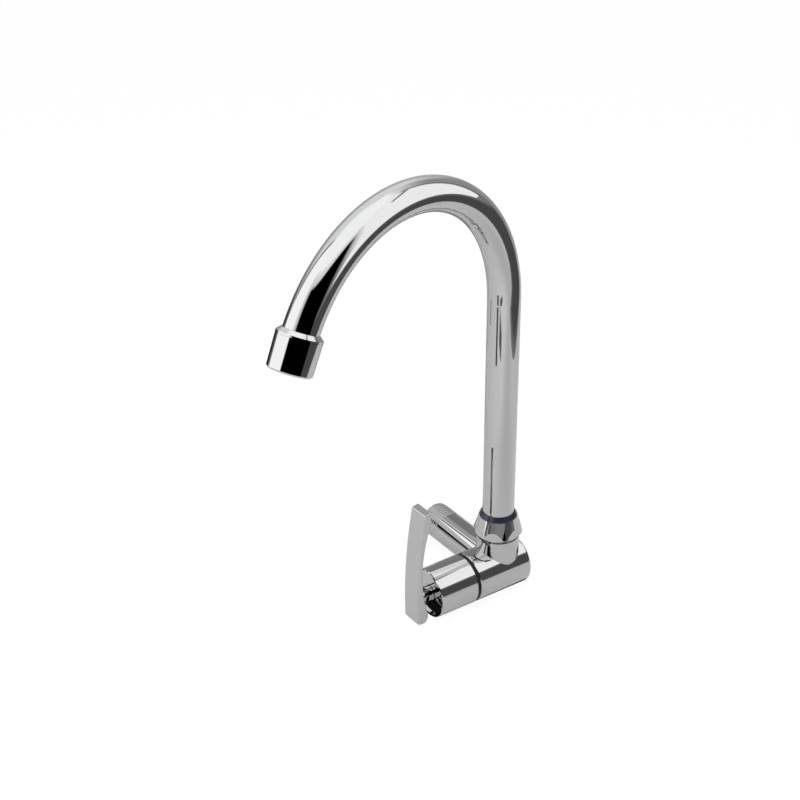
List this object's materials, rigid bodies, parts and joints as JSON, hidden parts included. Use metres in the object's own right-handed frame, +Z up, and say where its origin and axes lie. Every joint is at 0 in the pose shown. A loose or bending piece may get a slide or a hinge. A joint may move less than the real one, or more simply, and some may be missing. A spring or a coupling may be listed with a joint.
{
  "type": "wall-mounted kitchen tap",
  "caption": "Chromed wall-mounted kitchen tap with a quarter-turn side lever, a hexagonal spout nut and a high swivelling swan-neck spout ending in an aerator.",
  "frame": {"origin": "on the axis of the inlet thread, in the face of the wall", "axes": "+Y along the inlet into the wall, +Z up, +X to the right seen from the user: the lever is at the -X end of the valve body"},
  "size_m": [0.1895, 0.1173, 0.2889],
  "materials": {
    "chrome": "polished",
    "black_rubber": "matt",
    "dark_plastic": "gloss",
    "white_nylon": "matt",
    "fibre": "matt",
    "brass": "machined",
    "ceramic": "lapped",
    "black_steel": "black oxide",
    "steel": "bright"
  },
  "bodies": {
    "fixed": {"valve_body": "chrome", "cover": "chrome", "cover_ring": "black_rubber", "spout_nut": "chrome", "gland_bush": "dark_plastic", "slip_washer": "white_nylon", "bonnet": "brass", "bonnet_gasket": "fibre", "disc_cage": "brass", "fixed_disc": "ceramic", "seat_seal": "black_rubber"},
    "lever": {"lever": "chrome", "lever_screw": "black_steel", "spindle": "brass", "spindle_rings": "black_rubber", "spindle_clip": "steel", "friction_washer": "white_nylon", "moving_disc": "ceramic"},
    "spout": {"spout_tube": "chrome", "spout_ferrule": "brass", "spout_rings": "black_rubber", "split_ring": "white_nylon", "spout_tip": "chrome", "aerator_housing": "chrome", "aerator_insert": "white_nylon", "aerator_screens": "steel", "aerator_gasket": "black_rubber"}
  },
  "joints": [
    {"name": "lever_turn", "type": "hinge", "parent": "fixed", "child": "lever", "pos_m": [0, -0.0495, 0], "axis": [1, 0, 0], "range_deg": [0, 90]},
    {"name": "spout_swivel", "type": "hinge", "parent": "fixed", "child": "spout", "pos_m": [0, -0.0495, 0], "axis": [0, 0, 1], "range_deg": [-25, 178]}
  ]
}
